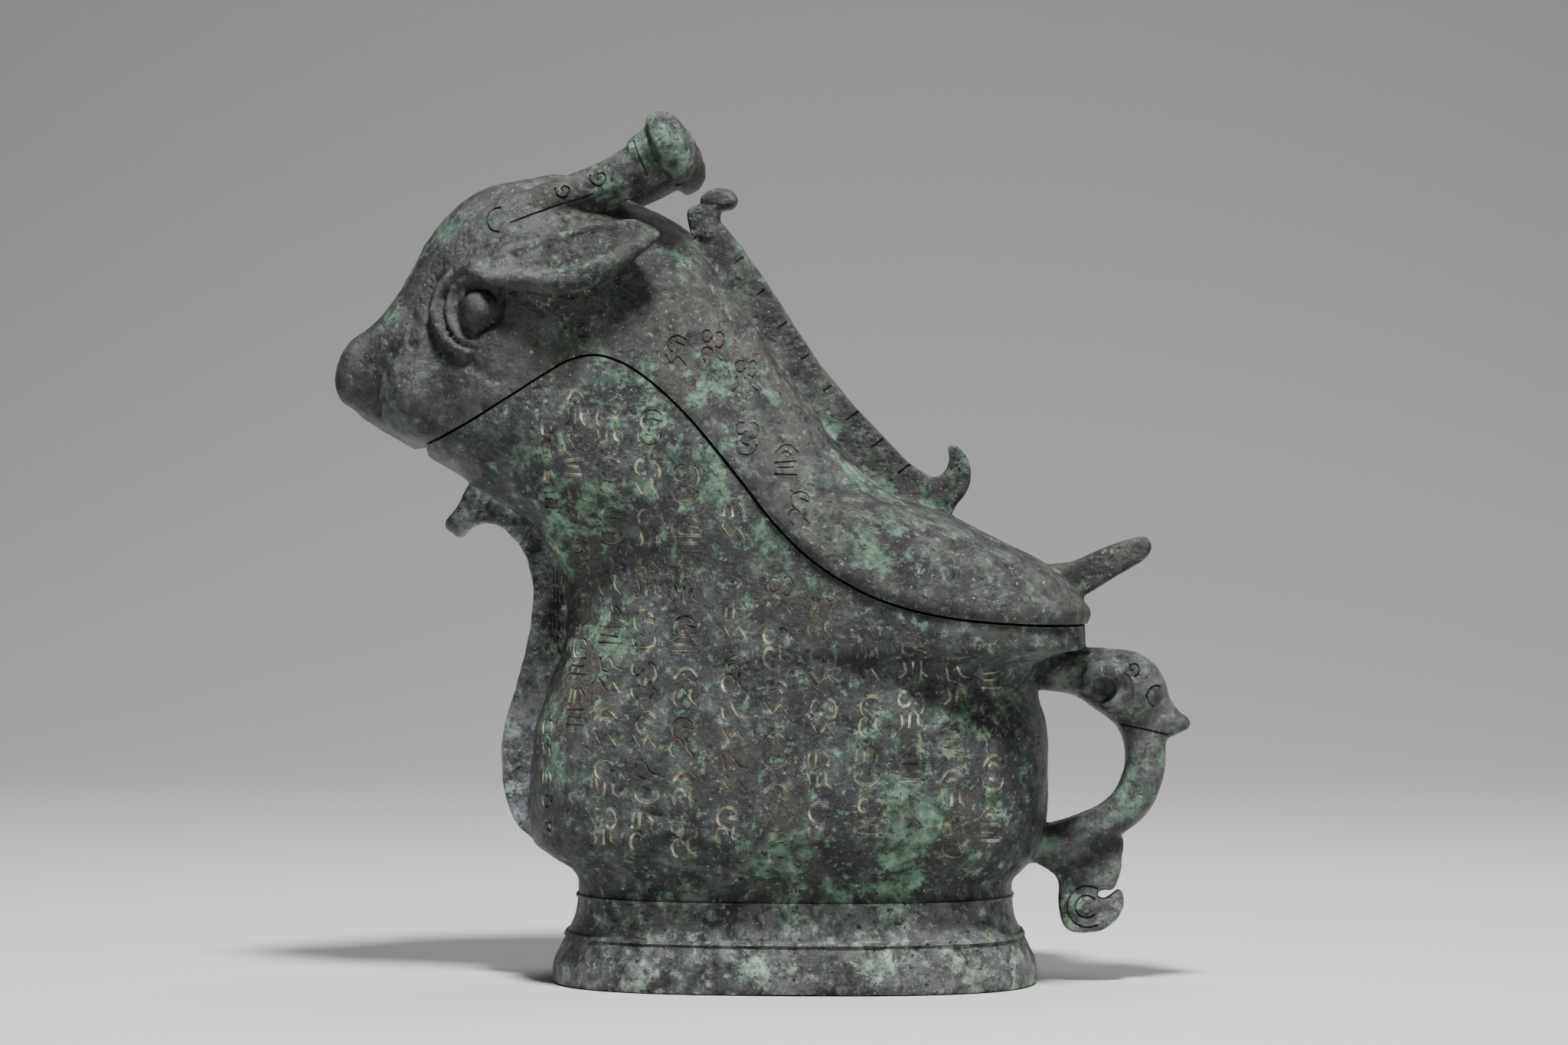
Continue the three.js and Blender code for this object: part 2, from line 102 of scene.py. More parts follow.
square_front = curve([(0, 2.7), (100, 2.6), (140, 2.4), (273, 2.2)])
square_rear = curve([
    (0, 2.7), (76, 2.55), (100, 2.35), (108, 2.4), (113, 4.6), (128, 4.2), (150, 2.9), (190, 2.3),
    (273, 2.1)])
seam = curve([
    (-135, 178.5), (-123, 181.6), (-110, 187.4), (-96, 195.4), (-81, 204.6), (-73, 209),
    (-65, 210.6), (-57, 208.6), (-47, 202.4), (-34, 190.6), (-18, 171.8), (-4, 154.2), (6, 144.2),
    (18, 135.8), (30, 129.8), (45, 125.3), (62, 122.6), (84, 121.2), (100, 121)])


def ends(z, inset):
    """Where the body starts and stops at a height, moved inwards by an inset."""
    z = np.asarray(z, float)
    low, high = front(z), rear(z)
    if inset:
        for angle in np.linspace(-1.45, 1.45, 13):
            lift, step = inset * math.sin(angle), inset * math.cos(angle)
            low = np.maximum(low, front(z + lift) + step)
            high = np.minimum(high, rear(z + lift) - step)
    return low, high


def full_width(x, z, inset):
    """Half width of the body before its ends are rounded off."""
    body = body_width(z)
    plan = plan_width(x) * (1 - neck_narrowing(z) * back_share(x))
    full = body + (plan - body) * plan_share(z)
    rise = np.maximum(0, z - CROWN_SPRING) / (CROWN - inset - CROWN_SPRING)
    return (full - inset) * np.sqrt(np.maximum(0, 1 - rise * rise))


def form_cutter(name, inset, low_z, high_z):
    """A closed shape like the whole body, smaller all round by an inset, to hollow it out."""
    around = 48
    heights = np.linspace(low_z, high_z, max(4, int((high_z - low_z) / 4)))
    points, faces = [], []
    for z in heights:
        low, high = ends(z, inset)
        angle = (np.arange(around) + 0.5) / around * 2 * math.pi
        c = np.cos(angle)
        power = np.where(c < 0, square_front(z), square_rear(z))
        u = np.sign(c) * np.abs(c) ** (2 / power)
        x = (low + high) / 2 + u * (high - low) / 2
        y = full_width(x, z, inset) * np.maximum(1e-3, 1 - np.abs(u) ** power) ** (1 / power)
        points += list(zip(x, y * np.sign(np.sin(angle)), np.full(around, z)))
    for r in range(len(heights) - 1):
        for i in range(around):
            a, b = r * around + i, r * around + (i + 1) % around
            faces.append((a, b, b + around, a + around))
    faces.append(tuple(range(around))[::-1])
    last = (len(heights) - 1) * around
    faces.append(tuple(range(last, last + around)))
    return shape(name, points, faces)


def shape(name, points, faces):
    """A mesh object from points drawn in millimetres from the foot's centre."""
    mesh = bpy.data.meshes.new(name)
    placed = (np.array(points, float) + (FOOT_CENTRE, 0, 0)) * MM
    mesh.from_pydata(placed.tolist(), [], [list(map(int, f)) for f in faces])
    mesh.validate()
    made = bpy.data.objects.new(name, mesh)
    bpy.context.scene.collection.objects.link(made)
    return made


def seam_cutter(name, low, high, from_x=-180, to_x=150):
    """All the space between two heights above the seam; None reaches far beyond the body."""
    stations = np.concatenate([[from_x], np.arange(max(from_x, -135) + 2, min(to_x, 100), 2.0), [to_x]])
    along = np.arange(-200, 200, 0.5)
    slope = np.interp(stations, along, np.gradient(seam(along), 0.5))
    lean = np.sqrt(1 + slope ** 2)
    bottom = np.full(len(stations), -20.0) if low is None else seam(stations) + low * lean
    top = np.full(len(stations), 420.0) if high is None else seam(stations) + high * lean
    points, faces = [], []
    for x, b, t in zip(stations, bottom, top):
        points += [(x, -120, b), (x, 120, b), (x, 120, t), (x, -120, t)]
    for r in range(len(stations) - 1):
        for i in range(4):
            a, b = 4 * r + i, 4 * r + (i + 1) % 4
            faces.append((b, a, a + 4, b + 4))
    faces += [(0, 1, 2, 3), tuple(4 * (len(stations) - 1) + i for i in (3, 2, 1, 0))]
    return shape(name, points, faces)


def band(name, low_z, high_z, out):
    """A ring about the body that stands out from it a little, with slightly sloping edges."""
    points, faces, around = [], [], 144
    root, slope = 2.5, 0.35
    profile = [(low_z, root), (low_z, 0.3), (low_z + slope, -out),
               (high_z - slope, -out), (high_z, 0.3), (high_z, root)]
    for z, inset in profile:
        low, high = front(z) + inset, rear(z) - inset
        power = square_front(z)
        angle = (np.arange(around) + 0.5) / around * 2 * math.pi
        c = np.cos(angle)
        u = np.sign(c) * np.abs(c) ** (2 / power)
        x = (low + high) / 2 + u * (high - low) / 2
        y = (body_width(z) - inset) * np.maximum(1e-3, 1 - np.abs(u) ** power) ** (1 / power)
        points += list(zip(x, y * np.sign(np.sin(angle)), np.full(around, z)))
    for r in range(6):
        for i in range(around):
            a, b = r * around + i, r * around + (i + 1) % around
            c, d = (r + 1) % 6 * around + (i + 1) % around, (r + 1) % 6 * around + i
            faces.append((a, b, c, d))
    return shape(name, points, faces)


def combine(target, tool, operation):
    """Cuts, joins or keeps the common part of two closed shapes, and drops the tool."""
    step = target.modifiers.new("combine", "BOOLEAN")
    step.operation, step.solver, step.object = operation, "MANIFOLD", tool
    depsgraph = bpy.context.evaluated_depsgraph_get()
    made = bpy.data.meshes.new_from_object(target.evaluated_get(depsgraph))
    target.modifiers.clear()
    target.data = made
    bpy.data.objects.remove(tool)
    return target


def between(before, start, stop, after, t):
    """A place on the smooth curve from start to stop, t from 0 to 1, bent by the points before and after."""
    return 0.5 * (2 * start + (stop - before) * t + (2 * before - 5 * start + 4 * stop - after) * t * t
                  + (3 * start - before - 3 * stop + after) * t ** 3)


def smooth_outline(points):
    """A closed outline rounded through a few drawn points."""
    p = np.array(points, float)
    before, after, last = np.roll(p, 1, 0), np.roll(p, -1, 0), np.roll(p, -2, 0)
    return np.stack([between(before, p, after, last, t) for t in (0, 0.25, 0.5, 0.75)], 1).reshape(-1, 2)


def outline_distance(points, x, z):
    """How far each place of the side view is outside a closed outline, negative inside."""
    best = np.full(np.broadcast(x, z).shape, 1e9)
    inside = np.zeros(best.shape, bool)
    for (ax, az), (bx, bz) in zip(points, np.roll(points, -1, 0)):
        ex, ez = bx - ax, bz - az
        t = np.clip(((x - ax) * ex + (z - az) * ez) / (ex * ex + ez * ez + 1e-12), 0, 1)
        best = np.minimum(best, (x - ax - t * ex) ** 2 + (z - az - t * ez) ** 2)
        crossing = ((az > z) != (bz > z)) & (x < ax + (z - az) * ex / (ez if ez else 1e-12))
        inside ^= crossing
    return np.where(inside, -1, 1) * np.sqrt(best)


def plate(points, half, rounding, lean=0.0, stand=0.0, flare=0.0, flare_from=0.0):
    """A flat part drawn by its outline in the side view, with rounded edges; it may stand off the middle."""
    drawn = smooth_outline(points)

    def distance(x, y, z):
        flat = outline_distance(drawn, x, z) + rounding
        deep = np.abs(y - stand - lean * x - flare * (flare_from - z)) - half + rounding
        outside = np.hypot(np.maximum(flat, 0), np.maximum(deep, 0))
        return outside + np.minimum(np.maximum(flat, deep), 0) - rounding

    low, high = drawn.min(0) - 4, drawn.max(0) + 4
    return distance, (low[0], high[0]), (low[1], high[1])


def bar(points, radii):
    """A round bar along a few drawn points, with a radius at each."""
    p = np.column_stack([np.array(points, float), radii])
    wide = np.vstack([2 * p[0] - p[1], p, 2 * p[-1] - p[-2]])
    path = [between(*wide[i:i + 4], t) for i in range(len(p) - 1) for t in np.arange(5) / 5]
    path = np.array(path + [p[-1]])

    def distance(x, y, z):
        best = np.full(np.broadcast(x, y, z).shape, 1e9)
        for a, b in zip(path[:-1], path[1:]):
            e = b[:3] - a[:3]
            t = ((x - a[0]) * e[0] + (y - a[1]) * e[1] + (z - a[2]) * e[2]) / (e @ e + 1e-12)
            t = np.clip(t, 0, 1)
            dx, dy, dz = x - a[0] - t * e[0], y - a[1] - t * e[1], z - a[2] - t * e[2]
            best = np.minimum(best, np.sqrt(dx ** 2 + dy ** 2 + dz ** 2) - a[3] - t * (b[3] - a[3]))
        return best

    reach = path[:, 3].max() + 5
    low, high = path.min(0) - reach, path.max(0) + reach
    return distance, (low[0], high[0]), (low[2], high[2])


def lump(centre, radii, turn=0.0):
    """An egg-shaped lump, turned in the side view by an angle in degrees."""
    c, s = math.cos(math.radians(turn)), math.sin(math.radians(turn))

    def distance(x, y, z):
        dx, dz = x - centre[0], z - centre[2]
        a = (dx * c + dz * s) / radii[0]
        b = (y - centre[1]) / radii[1]
        d = (dz * c - dx * s) / radii[2]
        far = np.sqrt(a * a + b * b + d * d)
        steep = np.sqrt((a / radii[0]) ** 2 + (b / radii[1]) ** 2 + (d / radii[2]) ** 2 + 1e-12)
        return far * (far - 1) / steep

    reach = max(radii) + 5
    return distance, (centre[0] - reach, centre[0] + reach), (centre[2] - reach, centre[2] + reach)


class Clay:
    """The solid outside of a casting, worked up from parts before it is cut hollow. Both sides are alike."""

    def __init__(self, grain, x_range, y_reach, z_range):
        self.grain = grain
        self.x = np.arange(x_range[0], x_range[1] + grain, grain)
        self.y = np.arange(-math.ceil(y_reach / grain), math.ceil(y_reach / grain) + 1) * grain
        self.z = np.arange(z_range[0], z_range[1] + grain, grain)
        x, z = self.x[:, None], self.z[None, :]
        low, high = ends(z, 0)
        u = (2 * x - low - high) / (high - low)
        power = np.where(u < 0, square_front(z), square_rear(z))
        width = np.maximum(full_width(x, z, 0), 0.02)[:, None, :]
        along = np.minimum(np.abs(u), 6) ** power
        beside = np.minimum(np.abs(self.y)[None, :, None] / width, 6) ** power[:, None, :]
        total = along[:, None, :] + beside
        scale = (along * (high - low) / 2)[:, None, :] + beside * width
        self.field = (total ** (1 / power)[:, None, :] - 1) * scale / (total + 1e-9)
        self.field = np.maximum(self.field, self.z[None, None, :] - CROWN)

    def work(self, part, soft, carve=False):
        """Adds a part with a soft joint, or takes it away."""
        distance, (x0, x1), (z0, z1) = part
        i0, i1 = np.searchsorted(self.x, [x0, x1])
        k0, k1 = np.searchsorted(self.z, [z0, z1])
        here = np.s_[i0:i1, :, k0:k1]
        d = distance(self.x[i0:i1, None, None], np.abs(self.y)[None, :, None], self.z[None, None, k0:k1])
        old = -self.field[here] if carve else self.field[here]
        near = np.maximum(soft - np.abs(old - d), 0) / soft
        new = np.minimum(old, d) - near * near * soft / 4
        self.field[here] = -new if carve else new

    def skin(self):
        """The points, faces and outward directions of the outside."""
        padded = np.pad(self.field, 1, constant_values=5.0).astype(np.float32)
        grid = openvdb.FloatGrid(5.0)
        grid.copyFromArray(padded)
        points, quads = grid.convertToQuads(0.0)
        start = np.array([self.x[0], self.y[0], self.z[0]]) - self.grain
        points = points.astype(float) * self.grain + start
        quads = quads.astype(int)
        a, b, c, d = (points[quads[:, k]] for k in range(4))
        across = np.cross(c - a, d - b)
        if np.einsum("ij,ij->", a, across) < 0:
            quads, across = quads[:, ::-1], -across
        out = np.zeros_like(points)
        for k in range(4):
            np.add.at(out, quads[:, k], across)
        return points, quads, out / (np.linalg.norm(out, axis=1, keepdims=True) + 1e-9)


def mottle(points, size, seed):
    """Soft random unevenness between -1 and 1, with bumps of about the given size."""
    q = points / size + 0.5
    cell = np.floor(q).astype(np.int64)
    f = q - cell
    f = f * f * (3 - 2 * f)
    total = np.zeros(len(points))
    # each corner of a cell gets its own value, scattered from the cell's whole numbers
    for corner in range(8):
        step = np.array([corner & 1, corner >> 1 & 1, corner >> 2 & 1])
        c = cell + step
        h = (c[:, 0] * 73856093 ^ c[:, 1] * 19349663 ^ c[:, 2] * 83492791 ^ seed * 2654435761) & 0xFFFFFFFF
        h = (h ^ h >> 13) * 1274126177 & 0xFFFFFFFF
        value = (h ^ h >> 16 & 0xFFFF) % 65536 / 32768 - 1
        total += value * np.prod(np.where(step, f, 1 - f), axis=1)
    return total


def casting_skin(points, seed):
    """How a buried casting's surface rises and falls: long waves, grain, and scattered pits."""
    waves = 0.24 * mottle(points, 16, seed) + 0.17 * mottle(points, 7, seed + 1)
    rough = np.clip(mottle(points, 22, seed + 2) + 0.35, 0, 1)
    grain = (0.09 + 0.22 * rough) * mottle(points, 3.1, seed + 3)
    pits = np.clip(mottle(points, 3.6, seed + 4) - 0.52, 0, 1) * (0.5 + rough)
    return waves + grain - 1.4 * pits


def arc(cx, cz, radius, start, stop):
    """A drawn arc in the side view, from one angle to another in degrees."""
    a = np.radians(np.linspace(start, stop, 14))
    return [(cx + radius * math.cos(v), cz + radius * math.sin(v)) for v in a]


def spiral(cx, cz, radius, start, turns):
    """A drawn curl in the side view that winds in to its centre."""
    t = np.linspace(0, 1, 22)
    a = math.radians(start) + t * turns * 2 * math.pi
    r = radius * (1 - 0.8 * t)
    return list(zip(cx + r * np.cos(a), cz + r * np.sin(a)))


def dress(made, materials):
    """Gives a shape its finishes, in the order of their numbers."""
    for material in materials:
        made.data.materials.append(material)
    return made


def face_out(made):
    """Turns a closed shape's faces outwards, judged by the sign of its volume."""
    mesh = made.data
    mesh.calc_loop_triangles()
    co = np.array([v.co for v in mesh.vertices])
    tri = np.array([t.vertices for t in mesh.loop_triangles])
    if np.einsum("ij,ij->", co[tri[:, 0]], np.cross(co[tri[:, 1]], co[tri[:, 2]])) < 0:
        mesh.flip_normals()
    return made


def engrave(target, lines, width, depth, side=-1, slot=0):
    """Cuts drawn lines of the side view into one side of a shape, one line crossing no other."""
    spacing, over_skin = 1.5, 0.7
    grazing = 0.12  # a line ends where the skin turns this far away from the side view
    tree = BVHTree.FromObject(target, bpy.context.evaluated_depsgraph_get())
    points, faces = [], []
    for line in lines:
        line = np.array(line, float)
        reach = np.concatenate([[0], np.cumsum(np.hypot(*np.diff(line, axis=0).T))])
        if reach[-1] < 1e-6:
            continue
        steps = max(2, int(round(reach[-1] / spacing)) + 1)
        at = np.linspace(0, reach[-1], steps)
        xs, zs = np.interp(at, reach, line[:, 0]), np.interp(at, reach, line[:, 1])
        hits = []
        for x, z in zip(xs, zs):
            start = Vector(((x + FOOT_CENTRE) * MM, side * 0.2, z * MM))
            place, normal, _, _ = tree.ray_cast(start, Vector((0, -side, 0)))
            if place is None or normal.y * side < grazing:
                break
            hits.append((np.array(place) / MM - (FOOT_CENTRE, 0, 0), np.array(normal)))
        if len(hits) < 2 or any(np.linalg.norm(b[0] - a[0]) > 3 * spacing for a, b in zip(hits, hits[1:])):
            continue
        place = np.array([h[0] for h in hits])
        out = np.array([h[1] for h in hits])
        out = (out + np.roll(out, 1, 0) + np.roll(out, -1, 0)) / 3 if len(out) > 3 else out
        out /= np.linalg.norm(out, axis=1, keepdims=True)
        along = np.gradient(place, axis=0)
        aside = np.cross(along, out)
        aside /= np.linalg.norm(aside, axis=1, keepdims=True) + 1e-9
        first = len(points)
        for p, n, s in zip(place, out, aside):
            for a, b in ((-1, over_skin), (1, over_skin), (0.45, -depth), (-0.45, -depth)):
                points.append(p + s * a * width / 2 * (1.25 if b > 0 else 1) + n * b)
        for r in range(len(place) - 1):
            for i in range(4):
                a, b = first + 4 * r + i, first + 4 * r + (i + 1) % 4
                faces.append((b, a, a + 4, b + 4))
        last = first + 4 * (len(place) - 1)
        faces += [(first, first + 1, first + 2, first + 3), (last + 3, last + 2, last + 1, last)]
    if not faces:
        return target
    cutter = dress(shape("cutter", points, faces), target.data.materials)
    for face in cutter.data.polygons:
        face.material_index = slot
    return combine(target, face_out(cutter), "DIFFERENCE")


def bronze(name, ground, growth, worn, growth_amount, worn_amount=0.5, relief=1.0, gloss=1.0, speckle=1.0):
    """Old bronze under patina: a dark ground, crisp green growth, rubbed places and red specks."""
    material = bpy.data.materials.new(name)
    material.use_nodes = True
    nodes, links = material.node_tree.nodes, material.node_tree.links
    skin = nodes["Principled BSDF"]
    where = nodes.new("ShaderNodeTexCoord")

    def noise(scale, detail, rough, warp=0.0):
        made = nodes.new("ShaderNodeTexNoise")
        made.inputs["Scale"].default_value = scale
        made.inputs["Detail"].default_value = detail
        made.inputs["Roughness"].default_value = rough
        made.inputs["Distortion"].default_value = warp
        links.new(where.outputs["Object"], made.inputs["Vector"])
        return made.outputs["Fac"]

    def ramp(source, *stops):
        made = nodes.new("ShaderNodeValToRGB")
        made.color_ramp.elements[0].position = stops[0][0]
        made.color_ramp.elements[1].position = stops[-1][0]
        for place, _ in stops[1:-1]:
            made.color_ramp.elements.new(place)
        for element, (_, tone) in zip(made.color_ramp.elements, stops):
            element.color = (*(tone if isinstance(tone, tuple) else (tone,) * 3), 1)
        links.new(source, made.inputs["Fac"])
        return made.outputs["Color"]

    def mix(factor, a, b, kind="MIX"):
        made = nodes.new("ShaderNodeMix")
        made.data_type, made.blend_type = "RGBA", kind
        for socket, value in ((made.inputs[0], factor), (made.inputs[6], a), (made.inputs[7], b)):
            if isinstance(value, bpy.types.NodeSocket):
                links.new(value, socket)
            else:
                socket.default_value = value if isinstance(value, float) else (*value, 1)
        return made.outputs[2]

    def shade(tone, k):
        return tuple(min(1.0, k * v) for v in tone)

    # ground, with broad rubbed places of another tone
    darker, lighter = shade(ground, 0.4 - 0.3 * speckle), shade(ground, 1.5 + 1.5 * speckle)
    base = ramp(noise(95, 12, 0.72), (0.41, darker), (0.51, ground), (0.62, lighter))
    worn_from = 0.56 - 0.12 * worn_amount
    rubbed = ramp(noise(26, 8, 0.62, 0.4), (worn_from, 0.0), (worn_from + 0.10, 1.0))
    colour = mix(rubbed, base, ramp(noise(170, 8, 0.7), (0.38, shade(worn, 0.45)), (0.62, shade(worn, 1.35))))

    # green growth in crisp-edged patches, and the same green as fine specks everywhere
    pale_growth = shade(growth, 1.6 + speckle)
    green = ramp(noise(190, 8, 0.68), (0.38, shade(growth, 0.25)), (0.49, growth), (0.64, pale_growth))
    growth_from = 0.585 - 0.12 * growth_amount
    patches = ramp(noise(34, 14, 0.74, 0.25), (growth_from, 0.0), (growth_from + 0.025, 1.0))
    region = ramp(noise(12, 3, 0.5), (0.45, 0.12), (0.53, 1.0))
    patches = mix(1.0, patches, region, "MULTIPLY")
    specks_from = 0.575 - 0.04 * growth_amount
    specks = ramp(noise(240, 8, 0.75), (specks_from, 0.0), (specks_from + 0.025, 0.85))
    colour = mix(specks, colour, green)
    colour = mix(patches, colour, green)

    # dark holes through the growth, red-brown spots, and pale flecks that are partly earth and partly painted
    # glints
    holes_to = 0.39 + 0.04 * speckle
    holes = ramp(noise(310, 10, 0.78), (holes_to - 0.03, 1.0), (holes_to, 0.0))
    colour = mix(holes, colour, shade(ground, 0.12))
    red = ramp(noise(88, 10, 0.74), (0.635, 0.0), (0.665, 0.9))
    colour = mix(red, colour, (0.075, 0.026, 0.020))
    # pale flecks: partly specks of earth, partly painted glints of light on the metal
    fleck_and_glint_from = 0.65 - 0.05 * speckle
    flecks_and_glints = ramp(noise(520, 6, 0.75), (fleck_and_glint_from, 0.0), (fleck_and_glint_from + 0.06, 0.7))
    colour = mix(flecks_and_glints, colour, (0.42, 0.43, 0.40))
    links.new(colour, skin.inputs["Base Color"])

    rough = ramp(noise(120, 9, 0.70), (0.38, 0.24 / gloss), (0.62, 0.56 / gloss))
    rough = mix(patches, rough, (0.62, 0.62, 0.62))
    links.new(rough, skin.inputs["Roughness"])
    skin.inputs["Metallic"].default_value = 0.15
    skin.inputs["Specular IOR Level"].default_value = 0.6 * gloss
    skin.inputs["Specular Tint"].default_value = (0.95, 0.93, 1.0, 1)

    # relief: pitted and grainy, with the patches standing up as a thin crust
    pits = nodes.new("ShaderNodeTexVoronoi")
    pits.inputs["Scale"].default_value = 300
    pits.inputs["Randomness"].default_value = 1.0
    links.new(where.outputs["Object"], pits.inputs["Vector"])
    hollow = ramp(pits.outputs["Distance"], (0.10, 0.0), (0.34, 1.0))
    height = mix(0.35, ramp(noise(230, 12, 0.74), (0.30, 0.0), (0.70, 1.0)), hollow)
    height = mix(0.16, height, patches)
    bump = nodes.new("ShaderNodeBump")
    bump.inputs["Strength"].default_value = 0.9
    bump.inputs["Distance"].default_value = 0.0014 * relief
    links.new(height, bump.inputs["Height"])
    links.new(bump.outputs["Normal"], skin.inputs["Normal"])
    return material


def without_crumbs(made):
    """Welds points that the cuts left on one another, and drops crumbs that came loose from the casting."""
    work = bmesh.new()
    work.from_mesh(made.data)
    bmesh.ops.dissolve_degenerate(work, edges=work.edges, dist=4e-6)
    bmesh.ops.triangulate(work, faces=work.faces)
    bmesh.ops.dissolve_degenerate(work, edges=work.edges, dist=4e-6)
    seen, crumbs = set(), []
    for start in work.verts:
        if start in seen:
            continue
        piece, reach = {start}, [start]
        while reach:
            for edge in reach.pop().link_edges:
                for point in edge.verts:
                    if point not in piece:
                        piece.add(point)
                        reach.append(point)
        seen |= piece
        if len(piece) < 100:
            crumbs += piece
    bmesh.ops.delete(work, geom=crumbs, context="VERTS")
    work.to_mesh(made.data)
    work.free()
    made.data.validate()
    return made


def finish_skin(made):
    """Smooth shading that keeps the sharp edges."""
    bpy.context.view_layer.objects.active = made
    made.select_set(True)
    bpy.ops.object.shade_smooth_by_angle(angle=math.radians(38))
    made.select_set(False)
    return made


clay = Clay(VESSEL_GRAIN, (-124, 138), 60, (-2, 216))
flange = plate([
    (-100, 166), (-108, 168.4), (-111.6, 167.4), (-115, 160.5), (-119.4, 154.8), (-117.8, 152),
    (-113.8, 149.6), (-110.6, 152.8), (-105, 154.9), (-99.4, 153), (-94.6, 148), (-91, 141.4),
    (-89.2, 133), (-89.6, 123.6), (-92, 110), (-95.8, 97), (-99, 86.4), (-100.1, 75), (-99.2, 64.4),
    (-96, 54.8), (-91, 48.6), (-84, 46), (-76, 52), (-74, 70), (-70, 96), (-66, 120), (-66, 138),
    (-80, 156)], 3.0, 1.0)
strap = plate([
    (86, 107), (96, 111), (110, 110.4), (120, 104), (124.4, 92), (125.6, 78), (124.2, 67.4), (119.6, 57.4),
    (110, 49.6), (97, 44), (84, 40.5), (78, 41), (77, 48), (82, 51.6), (93.9, 55.4), (105.4, 61.2),
    (110.4, 69), (111.6, 77), (109, 86), (101.6, 93.2), (91.5, 98.8), (82, 100)], 8.6, 6.0)
skull = plate([
    (84, 99.6), (84, 107), (93.5, 111.7), (104, 112.2), (113, 111.8), (119, 109.2), (123.4, 104.5),
    (125.0, 99), (122, 91.5), (113, 87.5), (104.2, 91.5), (95.2, 97.2)], 11.6, 7.0)
snout = plate([
    (114, 102), (123.0, 101), (126.6, 95.8), (130, 91.4), (133.2, 87.2), (132, 85), (128.2, 83.4),
    (124, 82.4), (117, 84), (112, 88)], 7.0, 4.0)
spur = plate([
    (82, 44), (97, 48), (110.2, 49.6), (110.4, 40.6), (109.6, 35.4), (107.4, 31.2), (104.4, 31.2),
    (102.2, 29.6), (104.2, 27.8), (107.2, 29.2), (109.8, 31), (111.2, 28.8), (110.8, 24.6),
    (108.4, 20.4), (103.7, 17.4), (98, 16.4), (92.6, 17.2), (90, 20.6), (89, 27), (88.7, 35.2),
    (82, 40)], 4.4, 1.6)
clay.work(flange, 1.5)
clay.work(strap, 2.0)
clay.work(skull, 3.0)
clay.work(snout, 3.0)
clay.work(spur, 1.2)

# the handle's beast: a rolled ear about its hollow, a brow, the eye's hole, nostrils and lips
small_ear = bar([(97.6, 11.0, 99.4), (99.6, 12.0, 103.6), (104, 13.2, 106), (109, 13.4, 104.2),
                 (111.2, 13.0, 99.4), (108.6, 12.0, 94.6), (104.6, 11.0, 93.4)],
                [1.6, 2.7, 3.2, 3.3, 3.1, 2.6, 1.7])
clay.work(small_ear, 0.3)
clay.work(lump((104.2, 13.0, 99.4), (4.6, 4.8, 3.9), turn=30), 0.5, carve=True)
clay.work(lump((119.6, 8.6, 98.4), (4.0, 3.4, 3.6)), 1.0)
clay.work(lump((122.8, 10.6, 96.6), (2.0, 3.6, 2.2)), 0.4, carve=True)
clay.work(lump((131.2, 2.2, 87.6), (2.6, 3.4, 2.6)), 1.2)
clay.work(lump((126.5, 5.2, 85.2), (3.6, 3.0, 2.6)), 1.2)
clay.field = np.maximum(clay.field, -clay.z[None, None, :])

points, quads, out = clay.skin()
lift = casting_skin(points, 3)
lift *= np.clip((points[:, 2] - 0.5) / 4, 0, 1)
points = points + out * lift[:, None]
points[:, 2] = np.maximum(points[:, 2], 0.0)

vessel_ground = (0.024, 0.028, 0.026)
malachite = (0.076, 0.134, 0.086)
brown_bronze = (0.040, 0.035, 0.027)
vessel_bronze = bronze("vessel_bronze", vessel_ground, malachite, brown_bronze, 0.55,
                       worn_amount=0.2, speckle=0.85)
pale_bronze = bronze("pale_flange_bronze", (0.115, 0.132, 0.134), (0.19, 0.25, 0.22), (0.17, 0.17, 0.17),
                     0.45)
groove_earth = bronze("groove_earth", (0.27, 0.26, 0.19), (0.18, 0.22, 0.15), (0.15, 0.135, 0.09), 0.40,
                      relief=0.2)
inside_bronze = bronze("inside_bronze", (0.035, 0.040, 0.032), (0.07, 0.12, 0.085), (0.045, 0.038, 0.030),
                       0.4)
handle_bronze = bronze("handle_bronze", (0.070, 0.078, 0.070), (0.095, 0.155, 0.110),
                       (0.100, 0.098, 0.096), 0.30, speckle=0.5)
foot_bronze = bronze("foot_bronze", (0.066, 0.072, 0.070), (0.150, 0.205, 0.155), (0.125, 0.122, 0.128),
                     0.50)
skin_materials = [vessel_bronze, pale_bronze, groove_earth, inside_bronze, handle_bronze, foot_bronze]
ON_BODY, ON_FLANGE, IN_GROOVES, INSIDE, ON_HANDLE, ON_FOOT = range(6)

vessel = dress(face_out(shape("vessel_casting", points, quads)), skin_materials)
x, y, z = points[quads].mean(1).T
slots = np.full(len(quads), ON_BODY, np.int32)
slots[(x < front(z) + 1.0) & (np.abs(y) < 4.4) & (z > 46) & (z < 170)] = ON_FLANGE
slots[(x > rear(z) + 0.8) & (np.abs(y) < 16) & (z < 111)] = ON_HANDLE
slots[z < 30] = ON_FOOT
vessel.data.polygons.foreach_set("material_index", slots)


def finished_as(made, slot):
    """Gives a shape the casting's finishes and picks one of them for all its faces."""
    dress(face_out(made), skin_materials)
    for face in made.data.polygons:
        face.material_index = slot
    return made


for low_z, high_z, stands in ((15.8, 17.6, 0.9), (28.6, 30.0, 0.7)):
    combine(vessel, finished_as(band("moulding", low_z, high_z, stands), ON_FOOT), "UNION")
combine(vessel, finished_as(seam_cutter("below_the_seam", None, -SEAM_GAP), ON_BODY), "INTERSECT")
belly_hollow = form_cutter("inside_of_vessel", VESSEL_WALL, FLOOR_TOP, INSIDE_TOP)
foot_hollow = form_cutter("inside_of_foot", FOOT_WALL, -3, FOOT_TOP)
for hollow in (belly_hollow, foot_hollow):
    combine(vessel, finished_as(hollow, INSIDE), "DIFFERENCE")

# rows of shallow strokes down the near side; they are marks in the place of writing, not letters
chance = np.random.default_rng(11)


